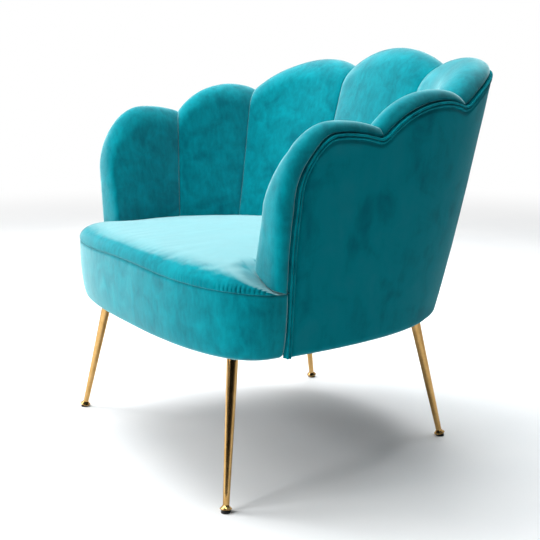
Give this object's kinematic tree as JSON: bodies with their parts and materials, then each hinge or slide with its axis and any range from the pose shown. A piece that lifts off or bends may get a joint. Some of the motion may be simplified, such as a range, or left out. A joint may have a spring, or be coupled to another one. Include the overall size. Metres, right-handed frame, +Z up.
{
  "type": "scallop back chair",
  "caption": "Upholstered tub chair with a scalloped channel back, double piping, a tight crowned seat and splayed tapered metal legs with levelling feet.",
  "frame": {"origin": "on the floor, under the middle of the chair's outline box", "axes": "+Z up, -Y towards the front where the sitter's knees are, +X to the right as seen from the front"},
  "size_m": [0.8128, 0.7161, 0.816],
  "materials": {
    "velvet": "short-pile teal velvet",
    "piping": "velvet-covered welt cord",
    "foam": "open-cell foam",
    "plywood": "bent plywood, unfinished",
    "timber": "planed, unfinished",
    "steel": "zinc-plated",
    "gold": "polished gold-coloured plating",
    "rubber": "matt black",
    "cambric": "black non-woven cloth"
  },
  "bodies": {
    "chair": {"back_channel_1": "velvet", "back_channel_2": "velvet", "back_channel_3": "velvet", "back_channel_4": "velvet", "back_channel_5": "velvet", "back_channel_6": "velvet", "back_channel_7": "velvet", "outside_cover": "velvet", "seat_apron": "velvet", "seat_cushion": "velvet", "shell_board_left": "plywood", "shell_board_back": "plywood", "shell_board_right": "plywood", "piping_inner": "piping", "piping_outer": "piping", "seat_foam": "foam", "rail_front": "timber", "rail_back": "timber", "rail_left": "timber", "rail_right": "timber", "corner_block_front_left": "timber", "leg_front_left": "gold", "leg_plate_front_left": "steel", "corner_block_front_right": "timber", "leg_front_right": "gold", "leg_plate_front_right": "steel", "corner_block_back_left": "timber", "leg_back_left": "gold", "leg_plate_back_left": "steel", "corner_block_back_right": "timber", "leg_back_right": "gold", "leg_plate_back_right": "steel", "spring_1": "steel", "spring_clip_front_1": "steel", "spring_clip_back_1": "steel", "spring_2": "steel", "spring_clip_front_2": "steel", "spring_clip_back_2": "steel", "spring_3": "steel", "spring_clip_front_3": "steel", "spring_clip_back_3": "steel", "spring_4": "steel", "spring_clip_front_4": "steel", "spring_clip_back_4": "steel", "seat_deck": "cambric", "dust_cover": "cambric"},
    "foot_front_left": {"levelling_foot_front_left": "gold", "foot_pad_front_left": "rubber"},
    "foot_front_right": {"levelling_foot_front_right": "gold", "foot_pad_front_right": "rubber"},
    "foot_back_left": {"levelling_foot_back_left": "gold", "foot_pad_back_left": "rubber"},
    "foot_back_right": {"levelling_foot_back_right": "gold", "foot_pad_back_right": "rubber"}
  },
  "joints": [
    {"name": "foot_front_left_level", "type": "slide", "parent": "chair", "child": "foot_front_left", "axis": [-0.1914, -0.1675, -0.9671], "range_m": [0, 0.008]},
    {"name": "foot_front_right_level", "type": "slide", "parent": "chair", "child": "foot_front_right", "axis": [0.1914, -0.1675, -0.9671], "range_m": [0, 0.008]},
    {"name": "foot_back_left_level", "type": "slide", "parent": "chair", "child": "foot_back_left", "axis": [-0.134, 0.1924, -0.9721], "range_m": [0, 0.008]},
    {"name": "foot_back_right_level", "type": "slide", "parent": "chair", "child": "foot_back_right", "axis": [0.134, 0.1924, -0.9721], "range_m": [0, 0.008]}
  ]
}
